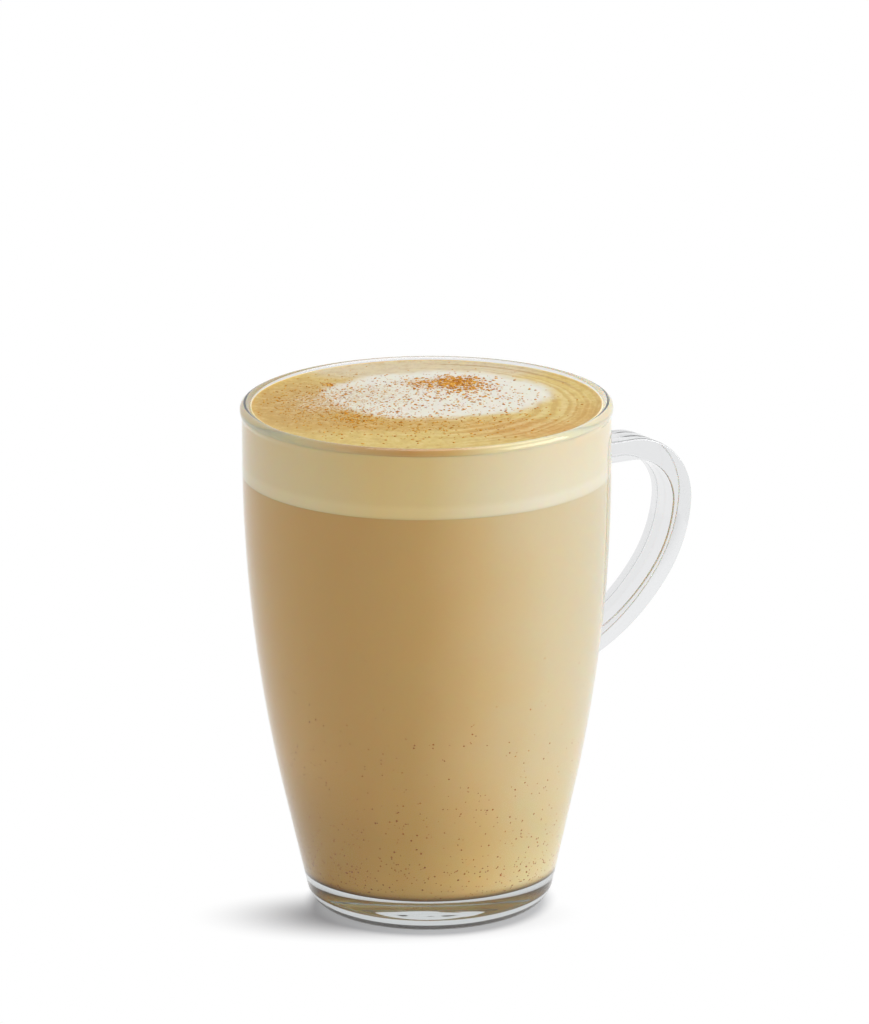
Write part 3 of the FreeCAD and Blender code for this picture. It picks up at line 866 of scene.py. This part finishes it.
def patch(right, back, wide, deep, inner=0.75, outer=1.15):
    """A soft oval mask on the foam, one inside and nothing outside."""
    x = add(tree, "Math", {0: flat.outputs["X"], 1: right},
            operation="SUBTRACT")
    y = add(tree, "Math", {0: flat.outputs["Y"], 1: back},
            operation="SUBTRACT")
    both = add(tree, "CombineXYZ", {"X": x, "Y": y})
    scaled = add(tree, "VectorMath", {
        0: both, 1: (1 / wide, 1 / deep, 0)}, operation="MULTIPLY")
    far = add(tree, "VectorMath", {0: scaled}, operation="LENGTH")
    mask = add(tree, "MapRange", {
        "Value": far.outputs["Value"], "From Min": outer, "From Max": inner},
        interpolation_type="SMOOTHSTEP")
    return mask


def stained(under, over, mask, strength):
    """Lays a colour over another where a mask says so."""
    amount = add(tree, "Math", {0: mask, 1: strength}, operation="MULTIPLY")
    mixed = add(tree, "Mix", {0: amount, 6: under, 7: over}, data_type="RGBA")
    return mixed.outputs[2]


def both_of(mask, other):
    """A mask that is strong only where two masks are."""
    product = add(tree, "Math", {0: mask, 1: other}, operation="MULTIPLY")
    return product


print("crema masks bend by up to", BEND_REACH / 2, "mm")

# %% [markdown]
# ## Crema: base and stains
# Coffee oils give a golden base. Where more coffee came up with the pour it
# is browner, at the left and along the front, and a paler veil of milk lies
# at the back.

# %% Base and stains
base = add(tree, "RGB")
base.outputs[0].default_value = linear("D9BC67")
colour = base
STAINS = [
    # colour, right, back, half width, half depth, inner, outer, strength
    ("C39340", -28, 0, 19, 26, 0.4, 1.25, 0.7),
    ("CC9A38", -6, -17, 22, 6, 0.4, 1.2, 0.8),
    ("D09636", 22, -20, 16, 9, 0.4, 1.2, 0.8),
    ("CB9232", 35, -8, 6, 12, 0.4, 1.2, 0.5),
    ("D9C9A8", 0, 33, 38, 12, 0.6, 1.1, 0.9)]
for code, *oval, strength in STAINS:
    colour = stained(colour, linear(code), patch(*oval), strength)
print("stains:", len(STAINS))

# %% [markdown]
# ## Crema: rings from the pour
# Turning the cup draws the stains out into rings, which show most on the
# right. Noise along one line, read by the distance from the middle, gives
# rings of uneven width, and a little of the bending keeps them from being
# true circles. One thin brown line runs close to the glass at the back.

# %% Rings
RINGS_PER_MM = 0.55
BROWN_LINE = 35.6  # its distance from the middle
little = add(tree, "VectorMath", {0: shift, "Scale": 2.0}, operation="SCALE")
poured = add(tree, "VectorMath", {0: serving, 1: little}, operation="ADD")
level = add(tree, "VectorMath", {
    0: poured, 1: (1, 1, 0)}, operation="MULTIPLY")
from_axis = add(tree, "VectorMath", {0: level}, operation="LENGTH")
swirl = add(tree, "TexNoise", {
    "Scale": RINGS_PER_MM, "Detail": 2.0, "W": from_axis.outputs["Value"]},
    noise_dimensions="1D")
ring_area = patch(20, 0, 28, 44, 0.6, 1.1)
for code, high in (("BE8628", 0.62), ("E6D296", 0.38)):
    ring = add(tree, "MapRange", {
        "Value": swirl, "From Min": 0.5, "From Max": high})
    colour = stained(colour, linear(code), both_of(ring, ring_area), 0.36)
from_line = add(tree, "Math", {
    0: from_axis.outputs["Value"], 1: BROWN_LINE}, operation="SUBTRACT")
off_line = add(tree, "Math", {0: from_line}, operation="ABSOLUTE")
on_line = add(tree, "MapRange", {
    "Value": off_line, "From Min": 0.5, "From Max": 0.15})
line_area = patch(20, 30, 22, 22, 0.7, 1.1)
colour = stained(colour, linear("A8763A"), both_of(on_line, line_area), 0.6)
print("mean width of a ring in mm:", round(1 / RINGS_PER_MM, 1))

# %% [markdown]
# ## Crema: powder and bubbles
# The finest spice is too small to model as flakes. It darkens the crema in
# grains about a millimetre wide, mostly at the left. Bubbles of uneven size
# mottle the whole skin with browner and paler spots.

# %% Powder and bubbles
GRAIN, BUBBLE = 0.9, 1.6
powder = add(tree, "TexNoise", {
    "Vector": serving, "Scale": 1 / GRAIN, "Detail": 3.0, "Roughness": 0.6})
dusty = add(tree, "MapRange", {
    "Value": powder, "From Min": 0.52, "From Max": 0.70})
dust_area = patch(-18, 0, 20, 26, 0.3, 1.2)
colour = stained(colour, linear("B07A2E"), both_of(dusty, dust_area), 0.7)
bubbly = add(tree, "TexNoise", {
    "Vector": serving, "Scale": 1 / BUBBLE, "Detail": 4.0, "Roughness": 0.7})
for code, high in (("B98C44", 0.72), ("E9D6A0", 0.28)):
    speckle = add(tree, "MapRange", {
        "Value": bubbly, "From Min": 0.5, "From Max": high})
    colour = stained(colour, linear(code), speckle, 0.45)
print("grain and bubble in mm:", GRAIN, BUBBLE)

# %% [markdown]
# ## Crema: the edge on the glass
# The outermost quarter millimetre wets the glass and is seen from outside,
# through the rolled rim. Its tones change from left to right: cream at the
# sides, a painted light where the rim gathers light, and tan in front.

# %% Edge on the glass
EDGE_FROM, EDGE_FULL = 38.0, 38.25
EDGE_PAINTED_LIGHT_TONES = [(0.0, "FFEEC4"), (0.16, "FBDCA2"), (0.32, "E6B876"),
              (0.45, "D89E50"), (0.56, "DCAA60"), (0.68, "F0D8A0"),
              (1.0, "F6E8C6")]
on_plan = add(tree, "VectorMath", {
    0: serving, 1: (1, 1, 0)}, operation="MULTIPLY")
from_middle = add(tree, "VectorMath", {0: on_plan}, operation="LENGTH")
at_wall = add(tree, "MapRange", {
    "Value": from_middle.outputs["Value"], "From Min": EDGE_FROM,
    "From Max": EDGE_FULL})
split = add(tree, "SeparateXYZ", {"Vector": serving})
along = add(tree, "MapRange", {
    "Value": split.outputs["X"], "From Min": -LATTE_HALF / MM,
    "From Max": LATTE_HALF / MM})
# The edge's tones; the cream at the sides is painted light.
edge = add(tree, "ValToRGB", {"Fac": along}, tones=EDGE_PAINTED_LIGHT_TONES)
colour = stained(colour, edge, at_wall, 0.9)
print("the edge's tones start", EDGE_FROM, "mm from the middle")

# %% [markdown]
# ## Crema: the white island
# The last of the pour leaves an island of fresh microfoam. Its edge is crisp
# except at the left, where it dissolves into the crema in feathers, and
# powder tints it under the heap of spice and at the left. Last come the pores
# of the skin: it is moist, so it is a little glossier than the foam below.

# %% White island and finish
PORE, PORE_DEPTH = 0.45, 0.08 * MM
mottled = add(tree, "MapRange", {
    "Value": powder, "From Min": 0.58, "From Max": 0.42})
feathers = both_of(mottled, patch(-19, 3, 13, 12, 0.2, 1.15))
colour = stained(colour, linear("E6DCC2"), feathers, 0.75)
colour = stained(colour, linear("ECE8DA"),
                 patch(2.0, 8.5, 26.5, 21.5, 0.84, 1.04), 0.95)
fine_dust = add(tree, "MapRange", {
    "Value": powder, "From Min": 0.36, "From Max": 0.64})
for code, area, strength in (
        ("CF9C54", patch(3, 17.5, 11, 7, 0.2, 1.2), 0.62),
        ("CDAE74", patch(-15, 7, 12, 11, 0.2, 1.2), 0.55)):
    colour = stained(colour, linear(code), both_of(fine_dust, area), strength)
wet = add(tree, "TexNoise", {
    "Vector": serving, "Scale": 1 / PORE, "Detail": 2.0})
pores = add(tree, "Bump", {
    "Height": wet, "Strength": 0.2, "Distance": PORE_DEPTH})
skin_shader = add(tree, "BsdfPrincipled", {
    "Base Color": colour, "Roughness": 0.45, "IOR": MILK_IOR,
    "Specular IOR Level": 0.35, "Subsurface Weight": 0.6,
    "Subsurface Radius": (1.0, 0.6, 0.3), "Subsurface Scale": 1.5 * MM,
    "Normal": pores})
add(tree, "OutputMaterial", {"Surface": skin_shader})
print("crema recipe:", len(tree.nodes), "nodes")

# %% [markdown]
# ## Ground spice
# Cinnamon bark is orange brown, nutmeg and clove are darker. Powder soaks up
# the milk's water, so it is dull. Noise at the size of a flake gives each one
# its own brown.

# %% Ground spice
FLAKE, FIBRE, FIBRE_DEPTH = 0.8 * MM, 0.12 * MM, 0.03 * MM


def spice_material(name, piece, dark, brown, light):
    """Dull ground bark whose brown changes from grain to grain."""
    tree = new_material(name, piece)
    place = add(tree, "TexCoord")
    grain = add(tree, "TexNoise", {
        "Vector": place.outputs["Object"], "Scale": 1 / FLAKE, "Detail": 1.0})
    tone = add(tree, "ValToRGB", {"Fac": grain},
               tones=[(0.34, dark), (0.5, brown), (0.66, light)])
    fibre = add(tree, "TexNoise", {
        "Vector": place.outputs["Object"], "Scale": 1 / FIBRE})
    rough = add(tree, "Bump", {
        "Height": fibre, "Strength": 0.5, "Distance": FIBRE_DEPTH})
    shader = add(tree, "BsdfPrincipled", {
        "Base Color": tone, "Roughness": 0.85,
        "Specular IOR Level": 0.2, "Normal": rough})
    add(tree, "OutputMaterial", {"Surface": shader})


spice_material("ground_cinnamon_and_nutmeg", spice_flakes,
               "B66C1C", "D6922A", "EAB656")
spice_material("soaked_spice_powder", sunk_specks,
               "9A4C08", "AE6012", "C07A22")

# %% [markdown]
# ## The floor
# A studio shows a clear mug on a sweep of seamless white paper, lit so that
# it turns pure white. Here it glows white where the eye looks at it and in
# reflections, a little greyer through glass, and fades to lit paper in a soft
# oval beside the foot, where the shadow lies, and in the dark ring where the
# foot touches. Under the foot a faint glow stays, painted light that softens
# that ring. It is drawn about the mug's axis, so it stays in place from every
# side.

# %% White floor
FLOOR_HALF = 3.0
FLOOR_DROP = 0.05 * MM  # so that it never shares a plane with the foot
SHADOW_MIDDLE = (-9.5 * MM, -11.5 * MM, 0)
SHADOW_SIZE = (44.5 * MM, 21.8 * MM, 1)
SHADOW_CORE = 0.22  # the part of the oval that is fully in shadow
FOOT_DARK, FOOT_LIGHT = 23 * MM, 28.5 * MM
RING_DARK, RING_LIGHT = 24 * MM, 27.5 * MM
floor_mesh = bpy.data.meshes.new("studio_floor")
floor_mesh.from_pydata(
    [(-FLOOR_HALF, -FLOOR_HALF, 0), (FLOOR_HALF, -FLOOR_HALF, 0),
     (FLOOR_HALF, FLOOR_HALF, 0), (-FLOOR_HALF, FLOOR_HALF, 0)],
    [], [(0, 1, 2, 3)])
floor = bpy.data.objects.new("studio_floor", floor_mesh)
floor.location.z = -FLOOR_DROP
bpy.context.scene.collection.objects.link(floor)
tree = new_material("seamless_white_paper", floor)
rays = add(tree, "LightPath")
place, serving = serving_place(tree)
away = add(tree, "VectorMath", {
    0: serving, 1: SHADOW_MIDDLE}, operation="SUBTRACT")
oval = add(tree, "VectorMath", {0: away, 1: SHADOW_SIZE}, operation="DIVIDE")
far = add(tree, "VectorMath", {0: oval}, operation="LENGTH")
off_shadow = add(tree, "MapRange", {
    "Value": far.outputs["Value"], "From Min": SHADOW_CORE, "From Max": 1.0},
    interpolation_type="SMOOTHSTEP")
from_axis = add(tree, "VectorMath", {0: place.outputs["Object"]},
                operation="LENGTH")
off_foot = add(tree, "MapRange", {
    "Value": from_axis.outputs["Value"], "From Min": FOOT_DARK,
    "From Max": FOOT_LIGHT}, interpolation_type="SMOOTHSTEP")
off_both = add(tree, "Math", {
    0: off_shadow, 1: off_foot}, operation="MULTIPLY")
# Painted light: a faint glow kept under the foot softens its dark ring.
glow_lift_under_foot = add(tree, "MapRange", {
    "Value": from_axis.outputs["Value"], "From Min": RING_DARK,
    "From Max": RING_LIGHT, "To Min": 0.2, "To Max": 0.04})
white = add(tree, "Math", {0: off_both, 1: glow_lift_under_foot}, operation="MAXIMUM")
looked_at = add(tree, "Math", {
    0: rays.outputs["Is Camera Ray"], 1: rays.outputs["Is Glossy Ray"]},
    operation="MAXIMUM")
seen = add(tree, "Math", {
    0: looked_at, 1: rays.outputs["Is Transmission Ray"]}, operation="MAXIMUM")
white_part = add(tree, "Math", {0: seen, 1: white}, operation="MULTIPLY")
paper = add(tree, "BsdfDiffuse", {"Color": linear("D9DCE3")})
sweep = add(tree, "Mix", {
    0: rays.outputs["Is Transmission Ray"], 6: linear("FFFFFF"),
    7: linear("ECECED")}, data_type="RGBA")
glow = add(tree, "Emission", {"Color": sweep.outputs[2], "Strength": 1.0})
faded = add(tree, "MixShader", {0: white_part, 1: paper, 2: glow})
add(tree, "OutputMaterial", {"Surface": faded})

# %% [markdown]
# ## The room
# Clear glass has no colour of its own: it shows the room. So the world is
# white for the eye, and for reflections and through glass it is white behind
# the mug and greyer in front, as a real room is darker where we stand. All
# other light from it is one soft even fill.

# %% World
FILL = 0.455
TO_BACKDROP = (*spot(0.35, 1.0), 0.25)
DARKEST = 0.55
world = bpy.data.worlds.new("white_studio")
bpy.context.scene.world = world
world.use_nodes = True
tree = world.node_tree
tree.nodes.clear()
rays = add(tree, "LightPath")
fill = add(tree, "Background", {"Color": linear("FFFFFF"), "Strength": FILL})
direction = add(tree, "TexCoord")
to_back = add(tree, "VectorMath", {
    0: direction.outputs["Generated"], 1: TO_BACKDROP},
    operation="DOT_PRODUCT")
room = add(tree, "MapRange", {
    "Value": to_back.outputs["Value"], "From Min": -0.7, "From Max": 0.35,
    "To Min": DARKEST, "To Max": 1.0}, interpolation_type="SMOOTHSTEP")
mirrored = add(tree, "Background", {
    "Color": linear("F3F3F4"), "Strength": room})
backdrop = add(tree, "Background", {
    "Color": linear("FFFFFF"), "Strength": 1.0})
bent = add(tree, "Math", {
    0: rays.outputs["Is Glossy Ray"], 1: rays.outputs["Is Transmission Ray"]},
    operation="MAXIMUM")
through = add(tree, "MixShader", {0: bent, 1: fill, 2: mirrored})
either = add(tree, "MixShader", {
    0: rays.outputs["Is Camera Ray"], 1: through, 2: backdrop})
add(tree, "OutputWorld", {"Surface": either})
print("fill light:", FILL)

# %% [markdown]
# ## The lamps
# A large soft box at the right does the modelling, a second one above lights
# the foam, and a weak card opens the shade on the left. Their panels would
# show through the glass as hard rectangles, so they are hidden from the eye
# and from what is seen through glass. Their light stays.

# %% Lamps
AIM = Vector((0, 0, 0.06))


def soft_lamp(name, right, back, up, width, power):
    """A square soft box at a place round the mug, aimed at it."""
    lamp = bpy.data.lights.new(name, "AREA")
    lamp.shape, lamp.size, lamp.energy = "SQUARE", width, power
    holder = bpy.data.objects.new(name, lamp)
    holder.location = (*spot(right, back), up)
    to_mug = AIM - Vector(holder.location)
    holder.rotation_euler = to_mug.to_track_quat("-Z", "Y").to_euler()
    bpy.context.scene.collection.objects.link(holder)
    holder.visible_transmission = holder.visible_camera = False
    print(name, "at", [round(v, 2) for v in holder.location])


soft_lamp("key_soft_box", 1.3, -0.42, 0.45, 1.2, 18.5)
soft_lamp("top_soft_box", 0.3, 0.6, 1.9, 1.4, 13)
soft_lamp("left_fill_card", -1.3, -0.6, 0.5, 1.2, 1.7)

# %% [markdown]
# ## Camera
# A long lens from a little over two metres keeps the mug's lines straight. We
# look down 16.3 degrees, so that the foam shows as a flat oval. A portrait
# frame leaves air above the mug. It is framed by turning the camera by less
# than a degree, so the lens needs no shift.

# %% Camera
LOOK_DOWN = math.radians(16.3)
DISTANCE = 2.2
MUG_MIDDLE = Vector((0, 0, 55 * MM))
FOCAL_LENGTH, SENSOR = 352.77, 36.0  # in millimetres, as on a lens
ROLL, PITCH, YAW = (math.radians(v) for v in (-0.41, 0.8434, -0.0354))
to_right = Vector((*spot(1, 0), 0))
to_back = Vector((*spot(0, 1), 0))
to_us = -to_back * math.cos(LOOK_DOWN) + Vector((0, 0, math.sin(LOOK_DOWN)))
to_top = to_back * math.sin(LOOK_DOWN) + Vector((0, 0, math.cos(LOOK_DOWN)))
lens = bpy.data.cameras.new("long_lens")
lens.lens, lens.sensor_width, lens.clip_end = FOCAL_LENGTH, SENSOR, 50.0
camera = bpy.data.objects.new("camera", lens)
level_view = Matrix((to_right, to_top, to_us)).transposed()
facing = (level_view @ Matrix.Rotation(ROLL, 3, "Z")
          @ Matrix.Rotation(YAW, 3, "Y") @ Matrix.Rotation(PITCH, 3, "X"))
camera.matrix_world = (Matrix.Translation(MUG_MIDDLE + to_us * DISTANCE)
                       @ facing.to_4x4())
bpy.context.scene.collection.objects.link(camera)
bpy.context.scene.camera = camera
bpy.context.scene.view_settings.view_transform = "Standard"
print("camera at", [round(v, 3) for v in camera.location])
